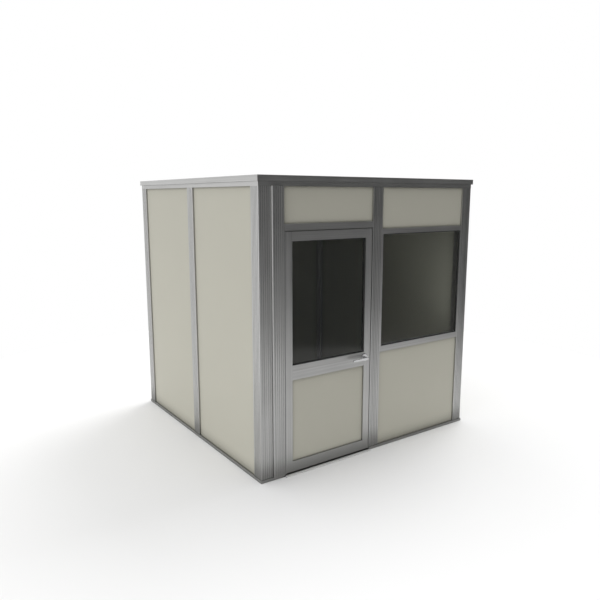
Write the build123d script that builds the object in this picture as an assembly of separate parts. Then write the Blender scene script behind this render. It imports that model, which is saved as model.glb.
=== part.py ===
from build123d import *
import os

# A square two-bay in-plant office in millimetres: hollow aluminium posts and rails with
# flat panels held in their grooves, a glazed swing door and one fixed window in front.
# +Z is up and the front wall faces -Y. The origin lies on the floor in the middle of the
# whole outline, the lever handle included.

# The room as a whole
room_side = 2438.4
room_height = 2486.0
wall_depth = 76.2
post_face = 114.3

# Hollow extruded sections and the panels in their grooves
skin = 3.0
panel_thickness = 50.8
seat_gap = 0.3
groove_depth = 15.0
track_groove_depth = 12.0
flute_count = 5
flute_width = 4.0
flute_depth = 1.4
corner_radius = 3.0

# Floor track, threshold and roof edge
track_height = 25.4
track_overhang = 6.0
track_bevel = 2.0
threshold_reach = 30.0
threshold_height = 10.0
threshold_toe = 4.0
threshold_bevel = 16.0
threshold_grips = 9
grip_width = 3.5
grip_depth = 1.2
band_height = 37.0
cap_height = 46.0
cap_overhang = 12.4
cap_lip = 36.0
deck_depth = 25.4
deck_sheet = 1.5
deck_ribs = 24
deck_play = 0.5

# Front wall: the jamb that carries the hinge, the header and the window
jamb_proud = 16.0
jamb_radius = 8.0
header_bottom = 2057.0
header_height = 55.0
window_sill_bottom = 920.0
window_sill_height = 50.0
window_head_bottom = 2001.5
window_head_height = 42.5
window_side_face = 13.0
window_bead = 5.0
glass_thickness = 6.4
glass_recess = 9.0
glass_bite = 9.0

# Door leaf
hinge_gap = 12.0
strike_gap = 7.0
head_gap = 6.0
door_bottom = 19.0
door_depth = 44.4
stile_width = 70.0
top_rail_height = 78.0
lock_rail_height = 125.0
lock_rail_bottom = 825.5
bottom_rail_height = 92.8
infill_thickness = 19.0
infill_groove_depth = 13.0
stop_gap = 5.0
stop_thickness = 14.0
stop_lap = 12.0

# Continuous hinge: pin, knuckles and two leaves
pin_radius = 3.0
pin_clearance = 0.05
barrel_clearance = 0.5
knuckle_count = 17
knuckle_play = 1.0
leaf_thickness = 2.0
leaf_depth = 36.0
barrel_stand_off = 0.8

# Lever handle
lever_backset = 66.0
lever_rise = 74.5
lever_length = 168.0
lever_stand_off = 50.0
lever_thickness = 12.0
lever_root_radius = 13.0
lever_tip_radius = 10.0
lever_edge_radius = 3.0
neck_radius = 9.0
neck_clearance = 0.3
rose_radius = 36.0
rose_thickness = 9.0
rose_edge_radius = 4.0
spindle_side = 8.0
spindle_bore_radius = 13.0

# Places worked out from the sizes above
half_side = room_side / 2
bay_width = (room_side - 3 * post_face) / 2
groove_width = panel_thickness + 2 * seat_gap
wall_top = room_height - cap_height - band_height
band_top = room_height - cap_height
ledge_top = room_height - deck_depth - deck_sheet
panel_bottom = track_height - track_groove_depth + seat_gap
panel_top = wall_top + track_groove_depth - seat_gap
jamb_edge = -half_side + 2 * post_face
strike_edge = -post_face / 2
doorway_width = strike_edge - jamb_edge
door_left = jamb_edge + hinge_gap
door_right = strike_edge - strike_gap
door_top = header_bottom - head_gap
header_top = header_bottom + header_height
knuckle_radius = hinge_gap / 2 - barrel_clearance
lever_x = door_right - lever_backset
lever_height = lock_rail_bottom + lever_rise
lever_reach = lever_stand_off + lever_thickness / 2
outline_shift = (lever_reach - cap_overhang) / 2


def save(name, solid, quarter_turns=0):
    """Turns a piece of the front wall to its own wall and writes it."""
    placed = Pos(0, outline_shift, 0) * Rot(0, 0, 90 * quarter_turns) * solid
    placed.label = name
    export_step(placed, os.path.join("parts", name + ".step"))


def box(x_range, depth_range, z_range):
    """A block between two positions along each axis; depth runs inwards from the wall face."""
    (x0, x1), (y0, y1), (z0, z1) = x_range, depth_range, z_range
    corner = Pos(x0, y0 - half_side, z0)
    return corner * Box(x1 - x0, y1 - y0, z1 - z0, align=(Align.MIN, Align.MIN, Align.MIN))


def hollow(section):
    """Leaves a skin of even thickness round the inside of a section."""
    return section - offset(section, amount=-skin, kind=Kind.INTERSECTION)


def flutes(depth):
    """Fine grooves across a post's face, centred on x = 0, at one depth in the wall."""
    pitch = post_face / (flute_count + 1)
    marks = Sketch()
    for i in range(flute_count):
        marks += Pos((i + 1) * pitch - post_face / 2, depth) * Rectangle(flute_width, 2 * flute_depth)
    return marks


def side_groove(edge, direction):
    """Groove for a panel's edge, cut into a post from the given side."""
    middle = edge - direction * groove_depth / 2
    return Pos(middle, wall_depth / 2) * Rectangle(groove_depth, groove_width)


def post_section(front=0.0, front_radius=0.0, grooves=(-1, 1)):
    """Plan of a post, centred on the wall line, with its outer face at -front."""
    depth = wall_depth + front
    section = Pos(0, wall_depth - depth / 2) * Rectangle(post_face, depth)
    if front_radius:
        section = fillet(section.vertices().group_by(Axis.Y)[0], front_radius)
    for direction in grooves:
        section -= side_groove(direction * post_face / 2, direction)
    return hollow(section) - flutes(-front) - flutes(wall_depth)


def stand(section, x, bottom=track_height, top=wall_top):
    """Raises a plan section at position x on the front wall."""
    return Pos(x, -half_side, bottom) * extrude(section, top - bottom)


def corner_post():
    """L-shaped post of the front left corner with a panel groove in the end of each leg."""
    leg = Pos(post_face / 2, wall_depth / 2) * Rectangle(post_face, wall_depth)
    leg -= side_groove(post_face, 1)
    section = leg + mirror(leg, about=Plane((0, 0, 0), z_dir=(1, -1, 0)))
    outer_corner = section.vertices().sort_by_distance((0, 0, 0))[0]
    section = hollow(fillet(outer_corner, corner_radius))
    marks = Pos(post_face / 2, 0) * flutes(0)
    section -= marks + mirror(marks, about=Plane((0, 0, 0), z_dir=(1, -1, 0)))
    return stand(section, -half_side)


def mitred(section, bottom, top):
    """Runs a (depth, height) section along the front wall and mitres both ends."""
    reach = room_side
    run = Pos(0, -half_side, 0) * extrude(Plane.YZ * section, reach, both=True)
    wedge = make_face(Polyline((0, 0), (-reach, -reach), (reach, -reach), close=True))
    return run & Pos(0, 0, bottom - 1) * extrude(wedge, top - bottom + 2)


def track_section():
    """Hollow plinth under the wall with a groove for the panels' lower edges."""
    width = wall_depth + 2 * track_overhang
    section = Pos(wall_depth / 2, track_height / 2) * Rectangle(width, track_height)
    upper = section.vertices().group_by(Axis.Y)[-1]
    section = chamfer(upper, track_bevel)
    groove_middle = track_height - track_groove_depth / 2
    section -= Pos(wall_depth / 2, groove_middle) * Rectangle(groove_width, track_groove_depth)
    return hollow(section)


def roof_edge_section():
    """Rail over the panels: a flush band, a proud cap, and a ledge for the roof deck."""
    outline = Polyline(
        (0, wall_top),
        (0, band_top),
        (-cap_overhang, band_top),
        (-cap_overhang, room_height),
        (cap_lip, room_height),
        (cap_lip, ledge_top),
        (wall_depth, ledge_top),
        (wall_depth, wall_top),
        close=True,
    )
    section = make_face(outline)
    groove_middle = wall_top + track_groove_depth / 2
    section -= Pos(wall_depth / 2, groove_middle) * Rectangle(groove_width, track_groove_depth)
    return hollow(section)


def wall_panel(left, right, bottom, top):
    """Flat panel between two grooves, given by the visible edges of its opening."""
    bite = groove_depth - seat_gap
    middle = wall_depth / 2
    depth_range = (middle - panel_thickness / 2, middle + panel_thickness / 2)
    return box((left - bite, right + bite), depth_range, (bottom, top))


def cross_bar(left, right, bottom, height, grooves):
    """Hollow rail between two posts, with grooves for panels on the sides listed."""
    section = Pos(wall_depth / 2, bottom + height / 2) * Rectangle(wall_depth, height)
    for side in grooves:
        middle = bottom + height / 2 + side * (height - track_groove_depth) / 2
        section -= Pos(wall_depth / 2, middle) * Rectangle(groove_width, track_groove_depth)
    section = hollow(section)
    return Pos(left, -half_side, 0) * extrude(Plane.YZ * section, right - left)


# Floor tracks, mitred at the corners; the front one is left out across the doorway
track = mitred(track_section(), 0, track_height)
track_span = (-wall_depth, 2 * wall_depth)
for quarter, name in ((1, "right"), (2, "back"), (3, "left")):
    save(name + "_floor_track", track, quarter)
save("hinge_side_floor_track", track & box((-room_side, jamb_edge), track_span, (0, track_height)))
save("window_side_floor_track", track & box((strike_edge, room_side), track_span, (0, track_height)))

# Threshold: a bevelled plate across the doorway, relieved underneath
inner_toe = wall_depth + track_overhang
plate = make_face(
    Polyline(
        (-threshold_reach, 0),
        (-threshold_reach, threshold_toe),
        (-threshold_reach + threshold_bevel, threshold_height),
        (inner_toe - threshold_bevel, threshold_height),
        (inner_toe, threshold_toe),
        (inner_toe, 0),
        close=True,
    )
)
relief_width = (inner_toe + threshold_reach - 2 * threshold_bevel - 2 * skin) / 3
for i in range(3):
    relief_middle = -threshold_reach + threshold_bevel + relief_width / 2 + i * (relief_width + skin)
    plate -= Pos(relief_middle, 0) * Rectangle(relief_width, 2 * (threshold_height - skin))
grip_pitch = (inner_toe + threshold_reach - 2 * threshold_bevel) / (threshold_grips + 1)
for i in range(threshold_grips):
    grip_middle = -threshold_reach + threshold_bevel + (i + 1) * grip_pitch
    plate -= Pos(grip_middle, threshold_height) * Rectangle(grip_width, 2 * grip_depth)
save("door_threshold", Pos(jamb_edge, -half_side, 0) * extrude(Plane.YZ * plate, doorway_width))

# Posts: four at the corners, one in the middle of each wall, and the hinge jamb
corner = corner_post()
for quarter, name in enumerate(("front_left", "front_right", "back_right", "back_left")):
    save(name + "_corner_post", corner, quarter)
middle_post = stand(post_section(), 0)
for quarter, name in enumerate(("front", "right", "back", "left")):
    save(name + "_middle_post", middle_post, quarter)
jamb_middle = jamb_edge - post_face / 2
save("door_jamb_post", stand(post_section(jamb_proud, jamb_radius, grooves=(1,)), jamb_middle))

# Full-height panels of the three plain walls
near_edge = post_face / 2
far_edge = near_edge + bay_width
plus_panel = wall_panel(near_edge, far_edge, panel_bottom, panel_top)
minus_panel = wall_panel(-far_edge, -near_edge, panel_bottom, panel_top)
for quarter, minus_name, plus_name in (
    (1, "right_front_panel", "right_rear_panel"),
    (2, "back_right_panel", "back_left_panel"),
    (3, "left_rear_panel", "left_front_panel"),
):
    save(minus_name, minus_panel, quarter)
    save(plus_name, plus_panel, quarter)

# Front wall above the door
bar_bite = track_groove_depth - seat_gap
save("door_header", cross_bar(jamb_edge, strike_edge, header_bottom, header_height, grooves=(1,)))
save("transom_panel", wall_panel(jamb_edge, strike_edge, header_top - bar_bite, panel_top))

# Front wall round the window
sill_top = window_sill_bottom + window_sill_height
head_top = window_head_bottom + window_head_height
sill_bar = cross_bar(near_edge, far_edge, window_sill_bottom, window_sill_height, grooves=(-1,))
head_bar = cross_bar(near_edge, far_edge, window_head_bottom, window_head_height, grooves=(1,))
save("window_sill_bar", sill_bar)
save("window_head_bar", head_bar)
save("window_lower_panel", wall_panel(near_edge, far_edge, panel_bottom, window_sill_bottom + bar_bite))
save("window_head_panel", wall_panel(near_edge, far_edge, head_top - bar_bite, panel_top))

# Glazing frame of the window: side strips that tongue into the posts, narrow beads above and below
sight_left = near_edge + window_side_face
sight_right = far_edge - window_side_face
sight_bottom = sill_top + window_bead
sight_top = window_head_bottom - window_bead
frame = box((near_edge, far_edge), (0, wall_depth), (sill_top, window_head_bottom))
tongue_bite = groove_depth - seat_gap
tongue_depths = (wall_depth / 2 - panel_thickness / 2, wall_depth / 2 + panel_thickness / 2)
frame += box((near_edge - tongue_bite, far_edge + tongue_bite), tongue_depths, (sill_top, window_head_bottom))
frame -= box((sight_left, sight_right), (-1, wall_depth + 1), (sight_bottom, sight_top))
glass_depths = (glass_recess, glass_recess + glass_thickness)
pane = box(
    (sight_left - glass_bite, sight_right + glass_bite),
    glass_depths,
    (sight_bottom - window_bead, sight_top + window_bead),
)
save("window_frame", frame - pane)
save("window_glass", pane)

# Roof edge on all four walls, and the ribbed steel deck on its ledge
roof_edge = mitred(roof_edge_section(), wall_top, room_height)
for quarter, name in enumerate(("front", "right", "back", "left")):
    save(name + "_roof_edge", roof_edge, quarter)
deck_span = room_side - 2 * cap_lip - 2 * deck_play
rib_pitch = deck_span / deck_ribs
rib_profile = ((0.2, 0), (0.32, 1), (0.68, 1), (0.8, 0))
crest_line = [(-deck_span / 2, 0)]
for rib in range(deck_ribs):
    for share, raised in rib_profile:
        crest_line.append((-deck_span / 2 + (rib + share) * rib_pitch, raised * deck_depth))
crest_line.append((deck_span / 2, 0))
under_line = [(x, z - deck_sheet) for x, z in reversed(crest_line)]
sheet = make_face(Polyline(*crest_line, *under_line, close=True))
deck = extrude(Plane.XZ * sheet, deck_span / 2, both=True)
save("roof_deck", Pos(0, 0, ledge_top + deck_sheet) * deck)

# Door stops: fillers in the grooves of both posts with a stop behind the leaf, and one overhead
stop_depths = (door_depth + stop_gap, door_depth + stop_gap + stop_thickness)
stop_left = door_left + stop_lap
stop_right = door_right - stop_lap
stop_top = header_bottom
stop_bottom = threshold_height
filler_bite = groove_depth - seat_gap
stops = box((jamb_edge - filler_bite, jamb_edge), tongue_depths, (track_height, stop_top))
stops += box((strike_edge, strike_edge + filler_bite), tongue_depths, (track_height, stop_top))
stops += box((jamb_edge, strike_edge), stop_depths, (stop_bottom, stop_top))
stops -= box((stop_left, stop_right), (-1, wall_depth + 1), (-1, door_top - stop_lap))
save("door_stop_frame", stops)


def stile_section(direction):
    """Plan of a door stile, its inner edge at x = 0, with the infill groove in that edge."""
    section = Pos(-direction * stile_width / 2, door_depth / 2) * Rectangle(stile_width, door_depth)
    groove = Rectangle(infill_groove_depth, infill_thickness + 2 * seat_gap)
    section -= Pos(-direction * infill_groove_depth / 2, door_depth / 2) * groove
    return hollow(section)


def door_rail(bottom, height, grooves):
    """Hollow rail between the stiles, grooved for glass or panel on the sides listed."""
    section = Pos(door_depth / 2, bottom + height / 2) * Rectangle(door_depth, height)
    groove = Rectangle(infill_thickness + 2 * seat_gap, infill_groove_depth)
    for side in grooves:
        middle = bottom + height / 2 + side * (height - infill_groove_depth) / 2
        section -= Pos(door_depth / 2, middle) * groove
    run = door_right - door_left - 2 * stile_width
    return Pos(door_left + stile_width, -half_side, 0) * extrude(Plane.YZ * hollow(section), run)


def infill(bottom, top):
    """Slab that fills the grooves between the stiles from one rail to the next."""
    bite = infill_groove_depth - seat_gap
    middle = door_depth / 2
    depths = (middle - infill_thickness / 2, middle + infill_thickness / 2)
    inner = (door_left + stile_width - bite, door_right - stile_width + bite)
    return box(inner, depths, (bottom - bite, top + bite))


# Door leaf
lock_rail_top = lock_rail_bottom + lock_rail_height
lever_place = Pos(lever_x, -half_side, lever_height)
spindle_bore = lever_place * Rot(90, 0, 0) * Cylinder(spindle_bore_radius, 4 * door_depth)
hinge_stile = stand(stile_section(1), door_left + stile_width, door_bottom, door_top)
latch_stile = stand(stile_section(-1), door_right - stile_width, door_bottom, door_top)
save("door_hinge_stile", hinge_stile)
save("door_latch_stile", latch_stile - spindle_bore)
save("door_top_rail", door_rail(door_top - top_rail_height, top_rail_height, grooves=(-1,)))
lock_rail = door_rail(lock_rail_bottom, lock_rail_height, grooves=(-1, 1))
save("door_lock_rail", lock_rail - spindle_bore)
save("door_bottom_rail", door_rail(door_bottom, bottom_rail_height, grooves=(1,)))
save("door_glass", infill(lock_rail_top, door_top - top_rail_height))
save("door_panel", infill(door_bottom + bottom_rail_height, lock_rail_bottom))

# Continuous hinge in the gap between jamb and leaf, its barrel just proud of the door's face
hinge_x = jamb_edge + hinge_gap / 2
hinge_depth = -(knuckle_radius + barrel_stand_off)
door_height = door_top - door_bottom
knuckle_pitch = door_height / knuckle_count
leaf_front = hinge_depth + knuckle_radius + knuckle_play


def hinge_leaf(side, first):
    """Leaf against one side of the gap, with every second knuckle from the first."""
    plate_x = sorted((hinge_x + side * hinge_gap / 2, hinge_x + side * (hinge_gap / 2 - leaf_thickness)))
    leaf = box(plate_x, (leaf_front, leaf_front + leaf_depth), (door_bottom, door_top))
    for i in range(first, knuckle_count, 2):
        bottom = door_bottom + i * knuckle_pitch + knuckle_play / 2
        top = bottom + knuckle_pitch - knuckle_play
        leaf += box(plate_x, (hinge_depth, leaf_front), (bottom, top))
        leaf += Pos(hinge_x, hinge_depth - half_side, bottom) * extrude(Circle(knuckle_radius), top - bottom)
    bore = Circle(pin_radius + pin_clearance)
    return leaf - Pos(hinge_x, hinge_depth - half_side, 0) * extrude(bore, room_height)


save("hinge_jamb_leaf", hinge_leaf(-1, 0))
save("hinge_door_leaf", hinge_leaf(1, 1))
pin = Pos(hinge_x, hinge_depth - half_side, door_bottom) * extrude(Circle(pin_radius), door_height)
save("hinge_pin", pin)


def rose(face_depth, outward):
    """Round cover plate with a softened rim, bored for the neck of the lever."""
    rim = Pos(rose_radius / 2, rose_thickness / 2) * Rectangle(rose_radius, rose_thickness)
    outer = rim.vertices().group_by(Axis.Y)[-1].sort_by(Axis.X)[-1]
    profile = fillet(outer, rose_edge_radius)
    profile -= Rectangle(2 * (neck_radius + neck_clearance), 4 * rose_thickness)
    disc = revolve(Plane.XZ * profile, Axis.Z)
    return Pos(lever_x, face_depth - half_side, lever_height) * Rot(90 * outward, 0, 0) * disc


def lever(face_depth, outward):
    """One lever: a round neck out of the rose and a flat tapered bar towards the hinge."""
    neck = extrude(Circle(neck_radius), lever_stand_off)
    ends = Circle(lever_root_radius) + Pos(-lever_length + lever_tip_radius, 0) * Circle(lever_tip_radius)
    bar = Pos(0, 0, lever_stand_off - lever_thickness / 2) * extrude(make_hull(ends.edges()), lever_thickness)
    bar = fillet(bar.edges().group_by(Axis.Z)[0] + bar.edges().group_by(Axis.Z)[-1], lever_edge_radius)
    return Pos(lever_x, face_depth - half_side, lever_height) * Rot(90 * outward, 0, 0) * (neck + bar)


# Lever set on the latch stile: a rose on each face, and both levers on one square spindle
save("lock_roses", rose(0, 1) + rose(door_depth, -1))
handle = lever(0, 1) + lever(door_depth, -1)
handle += box(
    (lever_x - spindle_side / 2, lever_x + spindle_side / 2),
    (-1, door_depth + 1),
    (lever_height - spindle_side / 2, lever_height + spindle_side / 2),
)
save("lever_handle", handle)
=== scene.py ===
import math

import bpy
import numpy as np
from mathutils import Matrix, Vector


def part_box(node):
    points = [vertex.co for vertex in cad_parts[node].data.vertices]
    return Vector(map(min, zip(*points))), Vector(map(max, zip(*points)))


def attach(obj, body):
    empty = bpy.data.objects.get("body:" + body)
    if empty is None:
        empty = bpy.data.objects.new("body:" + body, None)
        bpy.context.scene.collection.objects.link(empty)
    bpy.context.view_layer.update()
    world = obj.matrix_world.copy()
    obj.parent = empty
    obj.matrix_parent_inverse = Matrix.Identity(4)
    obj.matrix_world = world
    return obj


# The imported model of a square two-bay in-plant office. Its front wall faces -Y, with a
# glazed swing door on the left and a fixed window on the right. Sizes are in metres, and the
# points of profiles are in millimetres.
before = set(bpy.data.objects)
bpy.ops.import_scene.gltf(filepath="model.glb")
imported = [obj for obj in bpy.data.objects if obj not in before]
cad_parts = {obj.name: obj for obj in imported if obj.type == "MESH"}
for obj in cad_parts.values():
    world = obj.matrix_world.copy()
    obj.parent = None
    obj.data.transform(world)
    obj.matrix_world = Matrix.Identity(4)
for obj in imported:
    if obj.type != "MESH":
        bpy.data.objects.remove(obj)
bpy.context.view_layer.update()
scene = bpy.context.scene
scene.view_settings.view_transform = "Standard"

# Camera: it stands in front of the left corner a little below the roof edge and looks down
# at the room, as a camera fitted to the straight edges in the photograph does.
camera_place = (-3.5407, -5.0641, 2.3211)
camera_heading = math.radians(34.991)
camera_drop = math.radians(9.944)
camera_lens = 35.315
camera_data = bpy.data.cameras.new("camera")
camera_data.sensor_width = 36.0
camera_data.lens = camera_lens
camera = bpy.data.objects.new("camera", camera_data)
camera.location = camera_place
camera.rotation_euler = (math.pi / 2 - camera_drop, 0.0, -camera_heading)
scene.collection.objects.link(camera)
scene.camera = camera


# Studio: a round white floor under a white sky, so that floor and background run into each
# other, and a weak wide lamp from the far right that deepens the shadow on the left.
def linear(hex_colour):
    """The linear colour of an sRGB hex value, with an alpha of one."""
    shares = np.array([int(hex_colour[i : i + 2], 16) for i in (1, 3, 5)]) / 255
    low = shares / 12.92
    high = ((shares + 0.055) / 1.055) ** 2.4
    return (*np.where(shares <= 0.04045, low, high), 1.0)


def add(tree, kind, inputs=None, **settings):
    """Adds a shader node of the kind named. Settings are its own properties; inputs are
    values for its sockets, or sockets of other nodes to link to them."""
    made = tree.nodes.new("ShaderNode" + kind)
    for name, value in settings.items():
        setattr(made, name, value)
    for name, value in (inputs or {}).items():
        if isinstance(value, bpy.types.NodeSocket):
            tree.links.new(value, made.inputs[name])
        else:
            made.inputs[name].default_value = value
    return made


def blank_material(name):
    """A new material and its node tree, with nothing in the tree yet."""
    material = bpy.data.materials.new(name)
    material.use_nodes = True
    material.node_tree.nodes.clear()
    return material, material.node_tree


def grid_faces(rows, columns, wrap_rows=False, wrap_columns=False):
    """Four-cornered faces between neighbouring points of a rows by columns grid. A wrapped
    direction joins its last line back to its first."""
    r = np.arange(rows if wrap_rows else rows - 1)[:, None]
    c = np.arange(columns if wrap_columns else columns - 1)[None, :]
    below, beside = (r + 1) % rows, (c + 1) % columns
    corners = [r * columns + c, r * columns + beside, below * columns + beside, below * columns + c]
    return np.stack([np.broadcast_to(k, (r.size, c.size)).ravel() for k in corners], axis=1)


def mesh_object(name, points, faces, material):
    """Puts points and faces into a mesh object at the origin, with one material."""
    mesh = bpy.data.meshes.new(name)
    mesh.from_pydata(points.reshape(-1, 3).tolist(), [], [list(face) for face in faces])
    mesh.materials.append(material)
    made = bpy.data.objects.new(name, mesh)
    scene.collection.objects.link(made)
    return made


floor_radius, floor_sides = 4.8, 120
floor_paint, tree = blank_material("matt white studio floor")
floor_shader = add(tree, "BsdfDiffuse", {"Color": linear("#EEEEEE")})
add(tree, "OutputMaterial", {"Surface": floor_shader.outputs["BSDF"]})
turn = np.arange(floor_sides) * 2 * np.pi / floor_sides
floor_points = floor_radius * np.stack([np.cos(turn), np.sin(turn), 0 * turn], axis=-1)
floor = mesh_object("studio_floor", floor_points, [range(floor_sides)], floor_paint)

lamp_data = bpy.data.lights.new("wide_lamp", "SUN")
lamp_data.energy = 1.0
lamp_data.angle = math.radians(35)
lamp = bpy.data.objects.new("wide_lamp", lamp_data)
lamp_tilt, lamp_bearing = math.radians(42), math.radians(20)
lamp.rotation_euler = (0.0, lamp_tilt, lamp_bearing)
scene.collection.objects.link(lamp)

# The sky is white to the camera. Metal and glass mirror it white as well, and matt surfaces are
# lit by a sky that is dimmer at the horizon and brighter overhead. For both, a sector in front
# on the right, twice the half width and soft at its edges, is dark up to a height, as if a tall
# flag stood there. Heights are the upward part of a direction of length one.
horizon_light, overhead_light = 0.64, 1.55
dome_low, dome_high = 0.3, 0.95
flag_bearing, flag_half_width, flag_soft_edge = -60, 54, 6
flag_top, flag_top_blur, flag_tone = 0.72, 0.06, 0.08
world = bpy.data.worlds.new("studio sky")
world.use_nodes = True
tree = world.node_tree
tree.nodes.clear()
direction = add(tree, "TexCoord").outputs["Generated"]
height = add(tree, "SeparateXYZ", {0: direction}).outputs["Z"]
dome = add(
    tree,
    "MapRange",
    {
        "Value": height,
        "From Min": dome_low,
        "From Max": dome_high,
        "To Min": horizon_light,
        "To Max": overhead_light,
    },
)
ray = add(tree, "LightPath")
mirrored = add(
    tree,
    "Math",
    {0: ray.outputs["Is Glossy Ray"], 1: ray.outputs["Is Transmission Ray"]},
    operation="MAXIMUM",
)
plain = add(
    tree,
    "Mix",
    {0: mirrored.outputs[0], 2: dome.outputs["Result"], 3: 1.0},
    data_type="FLOAT",
)
level = add(tree, "VectorMath", {0: direction, 1: (1.0, 1.0, 0.0)}, operation="MULTIPLY")
level = add(tree, "VectorMath", {0: level.outputs["Vector"]}, operation="NORMALIZE")
bearing = math.radians(flag_bearing)
towards_flag = (math.cos(bearing), math.sin(bearing), 0.0)
facing = add(
    tree,
    "VectorMath",
    {0: level.outputs["Vector"], 1: towards_flag},
    operation="DOT_PRODUCT",
)
beside = add(
    tree,
    "MapRange",
    {
        "Value": facing.outputs["Value"],
        "From Min": math.cos(math.radians(flag_half_width + flag_soft_edge)),
        "From Max": math.cos(math.radians(flag_half_width - flag_soft_edge)),
        "To Min": 1.0,
        "To Max": flag_tone,
    },
    interpolation_type="SMOOTHSTEP",
)
above = add(
    tree,
    "MapRange",
    {
        "Value": height,
        "From Min": flag_top - flag_top_blur,
        "From Max": flag_top + flag_top_blur,
    },
    interpolation_type="SMOOTHSTEP",
)
flag = add(
    tree,
    "Mix",
    {0: above.outputs["Result"], 2: beside.outputs["Result"], 3: 1.0},
    data_type="FLOAT",
)
light = add(tree, "Math", {0: plain.outputs[0], 1: flag.outputs[0]}, operation="MULTIPLY")
strength = add(
    tree,
    "Mix",
    {0: ray.outputs["Is Camera Ray"], 2: light.outputs[0], 3: 1.0},
    data_type="FLOAT",
)
sky = add(
    tree,
    "Background",
    {"Color": (1.0, 1.0, 1.0, 1.0), "Strength": strength.outputs[0]},
)
add(tree, "OutputWorld", {"Surface": sky.outputs["Background"]})
scene.world = world


# Floor tracks: hollow aluminium channels laid flat on the floor, with a groove for the
# panels. They are extruded and left in their mill finish, so the surface is satin and fine
# lines from the die run along each length.
def lined_metal(
    name, along, pale, dark, floor_shade_tone="#90908E", rough=(0.40, 0.52), door_shade_y=None
):
    """Bare metal whose die or brush lines run along one axis: X, Y or Z. Noise stretched some
    170 times that way streaks the colour, the roughness and a shallow bump. Painted shade
    darkens it towards the floor and in its seams. Given a Y for the shade under a door, the
    piece keeps its colour outside that Y and has painted shade inside it."""
    material, tree = blank_material(name)
    place = add(tree, "TexCoord").outputs["Object"]
    # Real die lines are under 1 mm apart; these are 14 mm apart so that they show.
    line_pitch, line_length, cloud_width = 0.014, 2.4, 0.3
    floor_shade_height, seam_shade_reach, door_shade_blur = 0.26, 0.004, 0.004
    stretch = [1 / line_pitch] * 3
    stretch["XYZ".index(along)] = 1 / line_length
    lines = add(tree, "Mapping", {"Vector": place, "Scale": stretch})
    streaks = add(
        tree,
        "TexNoise",
        {"Vector": lines.outputs["Vector"], "Scale": 1.0, "Detail": 6.0, "Roughness": 0.65},
    )
    # Handling leaves broad cloudy patches some 30 cm across.
    clouds = add(tree, "TexNoise", {"Vector": place, "Scale": 1 / cloud_width, "Detail": 2.0})
    blend = add(
        tree,
        "MapRange",
        {"Value": streaks.outputs["Fac"], "From Min": 0.3, "From Max": 0.7},
    )
    tone = add(
        tree,
        "Mix",
        {0: blend.outputs["Result"], 6: linear(dark), 7: linear(pale)},
        data_type="RGBA",
    )
    mixed = add(
        tree,
        "Mix",
        {0: 0.5, 2: streaks.outputs["Fac"], 3: clouds.outputs["Fac"]},
        data_type="FLOAT",
    )
    # Painted shade: the colour darkens towards the floor over the lowest quarter metre.
    apart = add(tree, "SeparateXYZ", {0: place})
    floor_shade_mask = add(
        tree,
        "MapRange",
        {"Value": apart.outputs["Z"], "From Min": 0.0, "From Max": floor_shade_height},
        interpolation_type="SMOOTHERSTEP",
    )
    tone = add(
        tree,
        "Mix",
        {0: floor_shade_mask.outputs["Result"], 6: linear(floor_shade_tone), 7: tone.outputs[2]},
        data_type="RGBA",
    )
    # Painted shade: the colour is darkened where another face lies within 4 mm, in flutes and
    # seams.
    seam_occlusion = add(tree, "AmbientOcclusion", {"Distance": seam_shade_reach}, samples=4)
    seam_unshaded = add(
        tree,
        "MapRange",
        {"Value": seam_occlusion.outputs["AO"], "From Min": 0.5, "From Max": 0.92},
    )
    tone = add(
        tree,
        "Mix",
        {0: seam_unshaded.outputs["Result"], 6: linear("#4A4A48"), 7: tone.outputs[2]},
        data_type="RGBA",
    )
    if door_shade_y is not None:
        # Painted shade under the door: inside that Y the threshold is darkened where the closed
        # leaf shades it.
        under_door_shade = add(
            tree,
            "MapRange",
            {
                "Value": apart.outputs["Y"],
                "From Min": door_shade_y - door_shade_blur,
                "From Max": door_shade_y + door_shade_blur,
            },
        )
        tone = add(
            tree,
            "Mix",
            {0: under_door_shade.outputs["Result"], 6: tone.outputs[2], 7: linear("#5A5955")},
            data_type="RGBA",
        )
    gloss = add(
        tree,
        "MapRange",
        {
            "Value": mixed.outputs[0],
            "From Min": 0.35,
            "From Max": 0.65,
            "To Min": rough[0],
            "To Max": rough[1],
        },
    )
    relief = add(
        tree,
        "Bump",
        {"Height": streaks.outputs["Fac"], "Strength": 0.25, "Distance": 0.0004},
    )
    metal = add(
        tree,
        "BsdfPrincipled",
        {
            "Base Color": tone.outputs[2],
            "Metallic": 1.0,
            "Roughness": gloss.outputs["Result"],
            "Normal": relief.outputs["Normal"],
        },
    )
    add(tree, "OutputMaterial", {"Surface": metal.outputs["BSDF"]})
    return material


def finish_nodes(material, *names):
    """Puts a material on each CAD node named, in place of what it comes with."""
    for name in names:
        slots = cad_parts[name].data.materials
        slots.clear()
        slots.append(material)


alu_pale, alu_dark = "#CDCDCC", "#B1B1B0"
alu_along_x = lined_metal("mill-finish aluminium along X", "X", alu_pale, alu_dark)
alu_along_y = lined_metal("mill-finish aluminium along Y", "Y", alu_pale, alu_dark)
finish_nodes(alu_along_x, "back_floor_track", "hinge_side_floor_track", "window_side_floor_track")
finish_nodes(alu_along_y, "left_floor_track", "right_floor_track")

# Posts: tall hollow extrusions with shallow flutes on their faces. The corners are L-shaped,
# and the jamb that carries the door stands proud of the wall. The die lines run upwards.
alu_along_z = lined_metal("mill-finish aluminium along Z", "Z", alu_pale, alu_dark)
finish_nodes(
    alu_along_z,
    "front_left_corner_post",
    "front_right_corner_post",
    "back_left_corner_post",
    "back_right_corner_post",
    "front_middle_post",
    "left_middle_post",
    "right_middle_post",
    "back_middle_post",
    "door_jamb_post",
)

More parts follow.
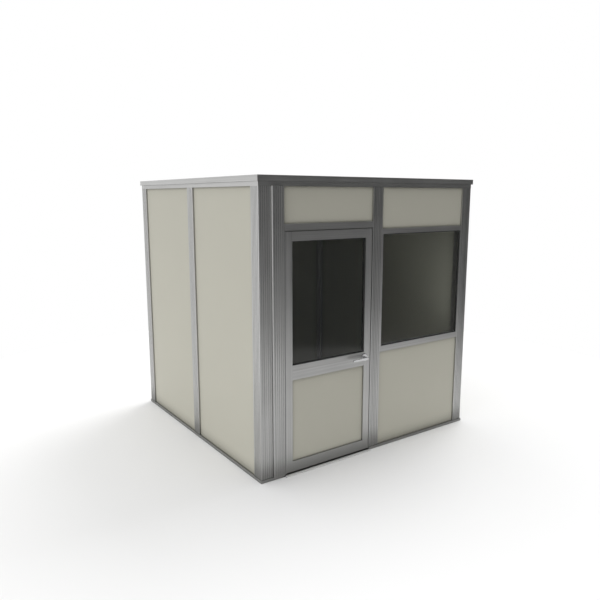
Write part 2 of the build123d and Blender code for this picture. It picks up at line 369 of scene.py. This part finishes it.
# Wall panels: faced boards 50 mm thick in the grooves of posts and tracks. The facing is a
# warm grey vinyl film, matt, with a faint pebble pressed into it.
panel_pale, panel_dark, panel_shade = "#CBC9BC", "#C6C4B7", "#9A988D"
pebble_width, patch_width, panel_shade_reach = 0.004, 0.6, 0.14
panel_vinyl, tree = blank_material("pebbled warm grey vinyl facing")
place = add(tree, "TexCoord").outputs["Object"]
# The pebble is about 1 mm across; it is drawn 4 mm across so that it shows.
pebble = add(tree, "TexVoronoi", {"Vector": place, "Scale": 1 / pebble_width}, feature="SMOOTH_F1")
shading = add(tree, "TexNoise", {"Vector": place, "Scale": 1 / patch_width, "Detail": 3.0})
tone = add(
    tree,
    "Mix",
    {0: shading.outputs["Fac"], 6: linear(panel_dark), 7: linear(panel_pale)},
    data_type="RGBA",
)
# Painted shade: the colour is darkened in the corners and under the trims that stand proud of the
# panel.
panel_occlusion = add(tree, "AmbientOcclusion", {"Distance": panel_shade_reach}, samples=8)
panel_unshaded = add(
    tree,
    "MapRange",
    {"Value": panel_occlusion.outputs["AO"], "From Min": 0.5, "From Max": 0.98},
)
tone = add(
    tree,
    "Mix",
    {0: panel_unshaded.outputs["Result"], 6: linear(panel_shade), 7: tone.outputs[2]},
    data_type="RGBA",
)
gloss = add(
    tree,
    "MapRange",
    {"Value": shading.outputs["Fac"], "To Min": 0.52, "To Max": 0.64},
)
relief = add(
    tree,
    "Bump",
    {"Height": pebble.outputs["Distance"], "Strength": 0.2, "Distance": 0.0002},
)
vinyl = add(
    tree,
    "BsdfPrincipled",
    {
        "Base Color": tone.outputs[2],
        "Roughness": gloss.outputs["Result"],
        "Normal": relief.outputs["Normal"],
        "Specular IOR Level": 0.25,
    },
)
add(tree, "OutputMaterial", {"Surface": vinyl.outputs["BSDF"]})
finish_nodes(
    panel_vinyl,
    "left_front_panel",
    "left_rear_panel",
    "right_front_panel",
    "right_rear_panel",
    "back_left_panel",
    "back_right_panel",
    "transom_panel",
    "window_head_panel",
    "window_lower_panel",
    "door_panel",
)

# Roof edge: four mill-finish aluminium rails mitred at the corners, with a cap that overhangs
# the walls. The ribbed deck of painted steel sheet drops inside them onto a ledge.
finish_nodes(alu_along_x, "front_roof_edge", "back_roof_edge")
finish_nodes(alu_along_y, "left_roof_edge", "right_roof_edge")
# The coating is baked on smooth; dust lies on it in patches 250 mm across.
deck_patch_width = 0.25
deck_paint, tree = blank_material("coil-coated pale grey steel deck")
place = add(tree, "TexCoord").outputs["Object"]
dust = add(tree, "TexNoise", {"Vector": place, "Scale": 1 / deck_patch_width, "Detail": 5.0})
tone = add(
    tree,
    "Mix",
    {0: dust.outputs["Fac"], 6: linear("#B5B7B6"), 7: linear("#C6C8C7")},
    data_type="RGBA",
)
gloss = add(tree, "MapRange", {"Value": dust.outputs["Fac"], "To Min": 0.42, "To Max": 0.6})
coating = add(
    tree,
    "BsdfPrincipled",
    {"Base Color": tone.outputs[2], "Roughness": gloss.outputs["Result"]},
)
add(tree, "OutputMaterial", {"Surface": coating.outputs["BSDF"]})
finish_nodes(deck_paint, "roof_deck")


# Deck screws: hex-headed self-drilling screws, zinc plated, with a rubber washer under each
# head. They hold the deck's valleys to the ledge all the way round.
mm = 0.001


def closed_piece(name, points, face_sets, material, body):
    """A mesh piece that rides on a body. Six times its volume is the sum, over its triangles,
    of the first corner dotted with the cross product of the other two. Where that is negative,
    every face is turned round to point outwards."""
    points = points.reshape(-1, 3)
    volume = 0.0
    for faces in face_sets:
        corners = points[faces]
        volume += np.sum(corners[:, :1] * np.cross(corners[:, 1:-1], corners[:, 2:]))
    way = 1 if volume > 0 else -1
    faces = [face for group in face_sets for face in group[:, ::way].tolist()]
    made = mesh_object(name, points, faces, material)
    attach(made, body)
    return made


def tube_faces(rows, columns):
    """Faces of a closed profile carried through several rows, with an end cap on each."""
    first_ring = np.arange(columns)[None, :]
    last_ring = first_ring + (rows - 1) * columns
    return [grid_faces(rows, columns, wrap_columns=True), first_ring[:, ::-1], last_ring]


def turned(name, places, outward, profile, sides, material, body):
    """One small turned part at each place. A profile pair (radius, height) becomes a ring: the
    place, plus the radius times a direction in the surface, plus the height times w, which
    points outwards. The direction is u times the cosine of the turn plus v times its sine."""
    radius, height = np.array(profile).T[:, :, None, None] * mm
    turn = (np.arange(sides) + 0.5) * 2 * np.pi / sides
    w = np.array(outward, dtype=float)
    u = np.roll(w, 1)
    v = np.cross(w, u)
    ring = np.cos(turn)[:, None] * u + np.sin(turn)[:, None] * v
    points = np.array(places)[:, None, None, :] + radius * ring + height * w
    step = len(profile) * sides * np.arange(len(points))[:, None, None]
    one_part = tube_faces(len(profile), sides)
    faces = [(group + step).reshape(-1, group.shape[1]) for group in one_part]
    return closed_piece(name, points, faces, material, body)


def plated_metal(name, pale, dark):
    """Metal under a plated coat, which is faintly mottled in colour and roughness."""
    material, tree = blank_material(name)
    place = add(tree, "TexCoord").outputs["Object"]
    # A real plated coat is mottled more finely; 3 mm is coarse enough to show.
    mottle_width = 0.003
    mottle = add(tree, "TexNoise", {"Vector": place, "Scale": 1 / mottle_width, "Detail": 2.0})
    tone = add(
        tree,
        "Mix",
        {0: mottle.outputs["Fac"], 6: linear(dark), 7: linear(pale)},
        data_type="RGBA",
    )
    gloss = add(tree, "MapRange", {"Value": mottle.outputs["Fac"], "To Min": 0.28, "To Max": 0.5})
    plating = add(
        tree,
        "BsdfPrincipled",
        {"Base Color": tone.outputs[2], "Metallic": 1.0, "Roughness": gloss.outputs["Result"]},
    )
    add(tree, "OutputMaterial", {"Surface": plating.outputs["BSDF"]})
    return material


screw_zinc = plated_metal("zinc-plated screw steel", "#C9CACB", "#AFB1B4")

# Extruded black rubber is matt; a greyish bloom lies on it in patches 20 mm across. Its grain
# is finer than the 1.5 mm drawn here, which is coarse enough to show.
bloom_width, grain_width = 0.02, 0.0015
seal_rubber, tree = blank_material("extruded black rubber")
place = add(tree, "TexCoord").outputs["Object"]
bloom = add(tree, "TexNoise", {"Vector": place, "Scale": 1 / bloom_width, "Detail": 4.0})
tone = add(
    tree,
    "Mix",
    {0: bloom.outputs["Fac"], 6: linear("#1A1A1A"), 7: linear("#2B2B2A")},
    data_type="RGBA",
)
gloss = add(tree, "MapRange", {"Value": bloom.outputs["Fac"], "To Min": 0.6, "To Max": 0.85})
grain = add(tree, "TexNoise", {"Vector": place, "Scale": 1 / grain_width, "Detail": 2.0})
relief = add(
    tree,
    "Bump",
    {"Height": grain.outputs["Fac"], "Strength": 0.3, "Distance": 0.0002},
)
rubber = add(
    tree,
    "BsdfPrincipled",
    {
        "Base Color": tone.outputs[2],
        "Roughness": gloss.outputs["Result"],
        "Normal": relief.outputs["Normal"],
    },
)
add(tree, "OutputMaterial", {"Surface": rubber.outputs["BSDF"]})

deck_low, deck_high = np.array(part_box("roof_deck"))
deck_sheet, rib_count, side_screws = 1.5 * mm, 24, 8
end_inset, side_inset, corner_inset = 20 * mm, 9 * mm, 100 * mm
valley_z = deck_low[2] + deck_sheet
valley_x = np.linspace(deck_low[0], deck_high[0], rib_count + 1)[1:-1]
end_y = [deck_low[1] + end_inset, deck_high[1] - end_inset]
side_x = [deck_low[0] + side_inset, deck_high[0] - side_inset]
side_y = np.linspace(deck_low[1] + corner_inset, deck_high[1] - corner_inset, side_screws)
end_places = np.stack(np.meshgrid(valley_x, end_y), -1)
edge_places = np.stack(np.meshgrid(side_x, side_y), -1)
flat_places = np.concatenate([end_places.reshape(-1, 2), edge_places.reshape(-1, 2)])
deck_places = np.column_stack([flat_places, np.full(len(flat_places), valley_z)])
washer_profile = [(3.0, 2.2), (5.0, 2.0), (7.2, 1.2), (7.8, 0.5), (7.8, 0.0)]
upwards, round_sides, hex_sides = (0, 0, 1), 14, 6
turned(
    "deck_screw_washers",
    deck_places,
    upwards,
    washer_profile,
    round_sides,
    seal_rubber,
    "room",
)
flange_profile = [(3.6, 3.6), (5.6, 2.8), (6.2, 2.2), (6.2, 1.9), (3.0, 1.9)]
turned(
    "deck_screw_flanges",
    deck_places,
    upwards,
    flange_profile,
    round_sides,
    screw_zinc,
    "room",
)
head_profile = [(2.9, 7.4), (3.7, 7.4), (4.5, 6.8), (4.6, 3.0), (3.0, 2.6)]
turned(
    "deck_screw_heads",
    deck_places,
    upwards,
    head_profile,
    hex_sides,
    screw_zinc,
    "room",
)

# Window: a head bar and a sill bar between two posts, and a slim frame that holds one pane
# of grey-tinted float glass.
finish_nodes(alu_along_x, "window_head_bar", "window_sill_bar", "window_frame")


def tinted_glass(name, passes, mirrors, dust_share, rough):
    """Float glass tinted grey. Each face passes a share of the light, given as a colour, and
    mirrors the room as plain glass does, more at a slant. A thin film of dust lies on it."""
    material, tree = blank_material(name)
    clear = add(tree, "BsdfTransparent", {"Color": linear(passes)})
    film = add(tree, "BsdfDiffuse", {"Color": linear("#B8B8B6")})
    clear = add(
        tree,
        "MixShader",
        {0: dust_share, 1: clear.outputs["BSDF"], 2: film.outputs["BSDF"]},
    )
    mirror = add(tree, "BsdfGlossy", {"Color": linear(mirrors), "Roughness": rough})
    slant = add(tree, "Fresnel", {"IOR": 1.52})
    # A ray that leaves the pane again goes straight on, so only the face it meets mirrors.
    leaving = add(tree, "NewGeometry").outputs["Backfacing"]
    share = add(
        tree,
        "Mix",
        {0: leaving, 2: slant.outputs["Fac"], 3: 0.0},
        data_type="FLOAT",
    )
    both = add(
        tree,
        "MixShader",
        {0: share.outputs[0], 1: clear.outputs["Shader"], 2: mirror.outputs["BSDF"]},
    )
    add(tree, "OutputMaterial", {"Surface": both.outputs["Shader"]})
    return material


window_tint = tinted_glass(
    "grey-tinted float glass", passes="#F4F5F4", mirrors="#FFFFFF", dust_share=0.008, rough=0.16
)
finish_nodes(window_tint, "window_glass")


# Glazing gaskets of the window: black rubber wedges pushed in between glass and frame, one
# ring outside and one inside, mitred at the corners.
def gasket_ring(name, x_edges, z_edges, profile, body):
    """A profile carried round an upright opening. A profile pair (inset, depth) lies inset
    from both edges at each corner, and depth behind the wall's face."""
    inset, depth = np.array(profile).T * mm
    x = np.stack([x_edges[0] + inset, x_edges[1] - inset, x_edges[1] - inset, x_edges[0] + inset])
    z = np.stack([z_edges[0] + inset, z_edges[0] + inset, z_edges[1] - inset, z_edges[1] - inset])
    y = np.broadcast_to(wall_face + depth, x.shape)
    points = np.stack([x, y, z], axis=-1)
    faces = [grid_faces(4, len(profile), wrap_rows=True, wrap_columns=True)]
    return closed_piece(name, points, faces, seal_rubber, body)


def wedge(glass_depth, way):
    """Section of a gasket as (inset, depth) pairs in millimetres, from the glass it presses on
    out to its root in the frame. It is outside the glass if way is -1, inside if way is 1."""
    foot = [(0, 0.05), (6.2, 0.05), (6.6, 0.7)]
    back = [(6.0, 1.9), (4.4, 4.0), (2.0, 5.8), (0, 6.0)]
    return np.array(foot + back) * (1, way) + (0, glass_depth)


wall_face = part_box("front_middle_post")[0][1]
# The frame shows 13 mm wide up the sides and 5 mm wide along the bars.
side_bead, bar_bead = 13 * mm, 5 * mm
sill_low, sill_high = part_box("window_sill_bar")
frame_low, frame_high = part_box("window_frame")
window_x = (sill_low[0] + side_bead, sill_high[0] - side_bead)
window_z = (frame_low[2] + bar_bead, frame_high[2] - bar_bead)
pane_y = (np.array(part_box("window_glass"))[:, 1] - wall_face) / mm
gasket_ring("window_outer_gasket", window_x, window_z, wedge(pane_y[0], -1), "room")
gasket_ring("window_inner_gasket", window_x, window_z, wedge(pane_y[1], 1), "room")

# Post cap: a mill-finish aluminium plate with a softened edge, fixed on the top of the hinge
# jamb. It closes the part of the jamb's hollow top that stands proud of the wall.
jamb_low, jamb_high = np.array(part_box("door_jamb_post"))
jamb_radius, corner_steps, wall_gap = 8 * mm, 7, 0.1 * mm
cap_thickness, cap_chamfer, cap_top_share = 2.5 * mm, 0.6 * mm, 0.985
turn = np.radians(np.linspace(180, 270, corner_steps))
arc = np.column_stack([np.cos(turn), np.sin(turn)]) * jamb_radius
left_corner = arc + (jamb_low[:2] + jamb_radius)
right_corner = left_corner[::-1] * (-1, 1) + (jamb_low[0] + jamb_high[0], 0)
back_y = wall_face - wall_gap
cap_plan = np.concatenate(
    [[(jamb_low[0], back_y)], left_corner, right_corner, [(jamb_high[0], back_y)]]
)
cap_middle = cap_plan.mean(axis=0)
cap_levels = [(0.0, 1.0), (cap_thickness - cap_chamfer, 1.0), (cap_thickness, cap_top_share)]
cap_rows = []
for rise, share in cap_levels:
    plan = cap_middle + (cap_plan - cap_middle) * share
    cap_rows.append(np.column_stack([plan, np.full(len(plan), jamb_high[2] + rise)]))
cap_faces = tube_faces(len(cap_rows), len(cap_plan))
closed_piece(
    "jamb_post_cap",
    np.array(cap_rows),
    cap_faces,
    alu_along_x,
    "room",
)

# Doorway: a header over the door, a stop frame round it and a threshold. They are mill-finish
# aluminium, and feet have worn the threshold bright.
finish_nodes(alu_along_x, "door_header")
finish_nodes(alu_along_z, "door_stop_frame")
# Painted shade lies on the threshold inward of this edge, under the door.
door_shade_edge = wall_face - 2 * mm
worn_aluminium = lined_metal(
    "foot-worn aluminium",
    "X",
    "#F1F2F2",
    "#E6E7E8",
    floor_shade_tone="#F4F4F3",
    rough=(0.28, 0.42),
    door_shade_y=door_shade_edge,
)
finish_nodes(worn_aluminium, "door_threshold")

# Threshold screws: zinc-plated countersunk screws that hold the threshold to the floor. They
# stand in two rows, with their heads let into its grooved top.
threshold_low, threshold_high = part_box("door_threshold")
threshold_inset, row_screws = 60 * mm, 5
outer_row, inner_row = -1.97 * mm, 54.15 * mm
screw_x = np.linspace(
    threshold_low[0] + threshold_inset, threshold_high[0] - threshold_inset, row_screws
)
screw_y = [wall_face + outer_row, wall_face + inner_row]
row_places = np.stack(np.meshgrid(screw_x, screw_y), -1).reshape(-1, 2)
sill_places = np.column_stack([row_places, np.full(len(row_places), threshold_high[2])])
countersunk = [(1.3, -0.9), (1.6, 0.3), (3.4, 0.35), (4.1, 0.1), (4.1, -1.0)]
screw_sides = 16
turned(
    "threshold_screws",
    sill_places,
    upwards,
    countersunk,
    screw_sides,
    screw_zinc,
    "room",
)

# Door seal: an extruded rubber bulb pressed onto the stops, up one side, across the head and
# down the other. The closed leaf comes up to it, with under 1 mm to spare.
seal_lap, seal_foot_gap = 6 * mm, 0.5 * mm
leaf_left, leaf_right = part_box("door_hinge_stile")[0][0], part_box("door_latch_stile")[1][0]
leaf_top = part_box("door_hinge_stile")[1][2]
seal_x = (leaf_left + seal_lap, leaf_right - seal_lap)
seal_z = (threshold_high[2] + seal_foot_gap, leaf_top - seal_lap)
bulb_root, bulb_half_width, bulb_reach, bulb_steps = 49.35, 3.0, 4.1, 9
# The bulb's section is half an ellipse: half the width times the cosine of the turn across,
# and the root less the reach times its sine in depth.
arc = np.radians(np.linspace(0, 180, bulb_steps))
bulb = np.column_stack([bulb_half_width * np.cos(arc), bulb_root - bulb_reach * np.sin(arc)])
side, depth = bulb.T * mm
x = np.stack([seal_x[0] - side, seal_x[0] - side, seal_x[1] + side, seal_x[1] + side])
z = np.stack([seal_z[0] + 0 * side, seal_z[1] + side, seal_z[1] + side, seal_z[0] + 0 * side])
y = np.broadcast_to(wall_face + depth, x.shape)
bulb_points = np.stack([x, y, z], axis=-1)
bulb_faces = tube_faces(4, bulb_steps)
closed_piece("door_bulb_seal", bulb_points, bulb_faces, seal_rubber, "room")


# Strike plate: a satin chrome plate on the latch side of the doorway, with rounded corners and a
# hole for the bolt. A thin black sheet behind the hole is painted shade for the bolt's pocket.
def rounded_outline(width, height, radius, steps=5):
    """Points (depth, height) round a rectangle centred on zero. Each corner is a quarter
    circle: its centre, plus the radius times the cosine and the sine of the turn."""
    turn = np.radians(np.linspace(0, 90, steps) + 90 * np.arange(4)[:, None])
    side = np.array([(1, 1), (-1, 1), (-1, -1), (1, -1)])[:, None, :]
    centre = side * (width / 2 - radius, height / 2 - radius)
    return (centre + radius * np.stack([np.cos(turn), np.sin(turn)], -1)).reshape(-1, 2)


def edge_plate(name, rows, middle, holed, material, body):
    """A thin upright plate that faces along X, on rows of (x, outline). A holed plate's last
    row joins back to its first; a plain plate is capped at both."""
    count = len(rows[0][1])
    points = np.array(
        [np.column_stack([np.full(count, x), outline + middle]) for x, outline in rows]
    )
    if holed:
        faces = [grid_faces(len(rows), count, wrap_rows=True, wrap_columns=True)]
    else:
        faces = tube_faces(len(rows), count)
    return closed_piece(name, points, faces, material, body)


lock_low, lock_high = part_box("lock_roses")
lock_depth = 22 * mm
lock_middle = np.array([wall_face + lock_depth, (lock_low[2] + lock_high[2]) / 2])
strike_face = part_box("front_middle_post")[0][0]
strike_outer = rounded_outline(width=32 * mm, height=124 * mm, radius=5 * mm)
strike_hole = rounded_outline(width=15 * mm, height=25 * mm, radius=2 * mm)
strike_edge, strike_thickness, strike_top_share = 0.8 * mm, 1.0 * mm, (0.98, 0.995)
strike_rows = [
    (strike_face, strike_outer),
    (strike_face - strike_edge, strike_outer),
    (strike_face - strike_thickness, strike_outer * strike_top_share),
    (strike_face - strike_thickness, strike_hole),
    (strike_face, strike_hole),
]
strike_chrome = plated_metal("satin chromed steel", "#D9DADB", "#C6C8CA")
edge_plate("strike_plate", strike_rows, lock_middle, True, strike_chrome, "room")
# Painted shade: a flat black sheet stands in for the dark depth of the bolt's pocket.
pocket = rounded_outline(width=14.6 * mm, height=24.6 * mm, radius=2 * mm)
pocket_thickness = 0.3 * mm
pocket_rows = [(strike_face, pocket), (strike_face - pocket_thickness, pocket)]
edge_plate("strike_pocket_shade", pocket_rows, lock_middle, False, seal_rubber, "room")
strike_screw_rise = 46 * mm
strike_places = [
    (strike_face - strike_thickness, lock_middle[0], lock_middle[1] + rise)
    for rise in (-strike_screw_rise, strike_screw_rise)
]
leftwards, rightwards = (-1, 0, 0), (1, 0, 0)
turned(
    "strike_screws",
    strike_places,
    leftwards,
    countersunk,
    screw_sides,
    screw_zinc,
    "room",
)

# Door leaf: hollow mill-finish stiles and rails, screwed together round a sealed glass above
# and a vinyl-faced panel below.
finish_nodes(alu_along_z, "door_hinge_stile", "door_latch_stile")
finish_nodes(alu_along_x, "door_top_rail", "door_lock_rail", "door_bottom_rail")
door_tint = tinted_glass(
    "grey-tinted sealed glass", passes="#E6E8E7", mirrors="#B4B4B4", dust_share=0.024, rough=0.08
)
finish_nodes(door_tint, "door_glass")

# Door glazing gaskets: the same black rubber wedges, pushed in between the sealed glass and
# the stiles and rails, on both sides of it.
door_x = (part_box("door_hinge_stile")[1][0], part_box("door_latch_stile")[0][0])
door_z = (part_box("door_lock_rail")[1][2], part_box("door_top_rail")[0][2])
glass_y = (np.array(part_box("door_glass"))[:, 1] - wall_face) / mm
gasket_ring("door_outer_gasket", door_x, door_z, wedge(glass_y[0], -1), "door_leaf")
gasket_ring("door_inner_gasket", door_x, door_z, wedge(glass_y[1], 1), "door_leaf")


# Door sweep: an aluminium carrier on the inner face of the bottom rail, and a soft rubber fin
# in it that just clears the threshold.
def run_along_x(name, x_ends, profile, material):
    """A closed profile of (depth, height) pairs in millimetres, carried from one x to another
    on the door leaf."""
    depth, height = np.array(profile).T * mm
    rows = [np.column_stack([np.full(len(profile), x), wall_face + depth, height]) for x in x_ends]
    faces = tube_faces(2, len(profile))
    return closed_piece(name, np.array(rows), faces, material, "door_leaf")


sweep_inset, sweep_screw_inset, sweep_screws = 20 * mm, 40 * mm, 5
sweep_x = (leaf_left + sweep_inset, leaf_right - sweep_inset)
carrier_back = [(44.4, 52.0), (45.6, 52.0), (46.2, 51.2), (46.2, 32.0)]
carrier_nose = [(48.6, 30.2), (49.2, 29.0), (49.2, 21.2), (48.2, 20.4), (47.6, 20.4)]
carrier_slot = [(47.6, 28.0), (45.8, 28.0), (45.8, 20.4), (44.4, 20.4)]
carrier = carrier_back + carrier_nose + carrier_slot
run_along_x("sweep_carrier", sweep_x, carrier, alu_along_x)
fin_root = [(46.0, 27.4), (47.4, 27.4), (47.3, 20.0)]
fin_tip = [(48.2, 12.0), (48.0, 10.9), (47.4, 10.9), (46.2, 19.6)]
run_along_x("sweep_fin", sweep_x, fin_root + fin_tip, seal_rubber)
carrier_face, carrier_screw_rise = wall_face + carrier_back[-1][0] * mm, 42 * mm
carrier_x = np.linspace(
    sweep_x[0] + sweep_screw_inset, sweep_x[1] - sweep_screw_inset, sweep_screws
)
carrier_places = [(x, carrier_face, carrier_screw_rise) for x in carrier_x]
pan_head = [(1.2, 1.1), (1.5, 1.9), (3.0, 1.7), (3.9, 0.9), (4.0, 0.0)]
inwards, outwards = (0, 1, 0), (0, -1, 0)
turned(
    "sweep_screws",
    carrier_places,
    inwards,
    pan_head,
    round_sides,
    screw_zinc,
    "door_leaf",
)

# Latch: a chromed face plate screwed to the door's edge, with a bolt bevelled on the side that
# meets the strike plate as the door closes.
latch_face = leaf_right
latch_outer = rounded_outline(width=25 * mm, height=203 * mm, radius=3 * mm)
latch_edge, latch_thickness, latch_top_share = 0.7 * mm, 0.9 * mm, (0.976, 0.997)
latch_rows = [
    (latch_face, latch_outer),
    (latch_face + latch_edge, latch_outer),
    (latch_face + latch_thickness, latch_outer * latch_top_share),
]
edge_plate(
    "latch_face_plate",
    latch_rows,
    lock_middle,
    False,
    strike_chrome,
    "door_leaf",
)
bolt_flat = [(0.9, -7.0), (4.2, -7.0), (4.7, -6.4), (4.7, -3.0)]
bolt_bevel = [(1.6, 7.0), (0.9, 7.0)]
bolt_plan = np.array(bolt_flat + bolt_bevel) * mm + (latch_face, lock_middle[0])
bolt_half_height = 11 * mm
bolt_levels = lock_middle[1] + np.array([-bolt_half_height, bolt_half_height])
bolt_rows = [np.column_stack([bolt_plan, np.full(len(bolt_plan), z)]) for z in bolt_levels]
bolt_faces = tube_faces(len(bolt_rows), len(bolt_plan))
closed_piece(
    "latch_bolt",
    np.array(bolt_rows),
    bolt_faces,
    strike_chrome,
    "door_leaf",
)
latch_screw_rise = 92 * mm
latch_places = [
    (latch_face + latch_thickness, lock_middle[0], lock_middle[1] + rise)
    for rise in (-latch_screw_rise, latch_screw_rise)
]
turned(
    "latch_screws",
    latch_places,
    rightwards,
    countersunk,
    screw_sides,
    screw_zinc,
    "door_leaf",
)

# Continuous hinge: two folded steel leaves knuckled round one pin, brushed along their length.
# Countersunk screws in a zigzag hold one leaf to the jamb and the other to the door.
hinge_steel = lined_metal("brushed hinge steel", "Z", "#A9A9A9", "#9A9A9A")
finish_nodes(hinge_steel, "hinge_jamb_leaf", "hinge_door_leaf", "hinge_pin")
hinge_low, hinge_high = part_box("hinge_pin")
screw_count, hinge_screw_sides, hinge_screw_inset, leaf_thickness = 16, 14, 60 * mm, 2 * mm
near_depth, far_depth = 13 * mm, 27 * mm
screw_z = np.linspace(
    hinge_low[2] + hinge_screw_inset, hinge_high[2] - hinge_screw_inset, screw_count
)
stagger = wall_face + np.where(np.arange(screw_count) % 2, near_depth, far_depth)
jamb_face = jamb_high[0] + leaf_thickness
leaf_face = leaf_left - leaf_thickness
jamb_places = np.column_stack([np.full(screw_count, jamb_face), stagger, screw_z])
leaf_places = np.column_stack([np.full(screw_count, leaf_face), stagger, screw_z])
turned(
    "hinge_jamb_screws",
    jamb_places,
    rightwards,
    countersunk,
    hinge_screw_sides,
    screw_zinc,
    "room",
)
turned(
    "hinge_leaf_screws",
    leaf_places,
    leftwards,
    countersunk,
    hinge_screw_sides,
    screw_zinc,
    "door_leaf",
)

# Lever set: a round rose and a lever on each face of the door, in satin chrome that is brushed
# along the lever.
lever_chrome = lined_metal("satin chrome", "X", "#CACACB", "#BABABB", rough=(0.14, 0.22))
finish_nodes(lever_chrome, "lock_roses", "lever_handle")

# Key cylinder in the end of the outer lever: a nickel-plated plug in a satin ring, all flush with
# the lever. The keyway is painted shade: black dots flush with the plug. The inner lever has a push
# button in the same place.
lever_low, lever_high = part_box("lever_handle")
rose_radius = 36 * mm
hub_x, hub_z = lock_low[0] + rose_radius, lock_middle[1]
outer_end, inner_end = (hub_x, lever_low[1], hub_z), (hub_x, lever_high[1], hub_z)
brass_nickel = plated_metal("nickel-plated brass", "#D8D5CE", "#C4C0B8")
cylinder_ring = [(5.0, 0.005), (5.2, 0.01), (7.9, 0.01), (8.0, -0.5)]
fine_sides, keyway_sides, button_sides = 32, 12, 28
turned(
    "cylinder_ring",
    [outer_end],
    outwards,
    cylinder_ring,
    fine_sides,
    strike_chrome,
    "lever",
)
cylinder_plug = [(1.0, 0.015), (4.8, 0.015), (4.9, -0.5)]
turned(
    "cylinder_plug",
    [outer_end],
    outwards,
    cylinder_plug,
    fine_sides,
    brass_nickel,
    "lever",
)
# Painted shade: a column of flush black dots stands in for the keyway's dark slot.
keyway = [(0.3, 0.02), (0.5, 0.02), (0.5, -0.1)]
keyway_half_height, keyway_dots = 2.6 * mm, 6
keyway_rises = np.linspace(-keyway_half_height, keyway_half_height, keyway_dots)
keyway_places = [(hub_x, lever_low[1], hub_z + rise) for rise in keyway_rises]
turned(
    "cylinder_keyway_shade",
    keyway_places,
    outwards,
    keyway,
    keyway_sides,
    seal_rubber,
    "lever",
)
push_button = [(0.8, 3.2), (3.4, 3.2), (4.2, 2.6), (4.4, 1.6), (4.4, -0.5)]
turned(
    "push_button",
    [inner_end],
    inwards,
    push_button,
    button_sides,
    lever_chrome,
    "lever",
)
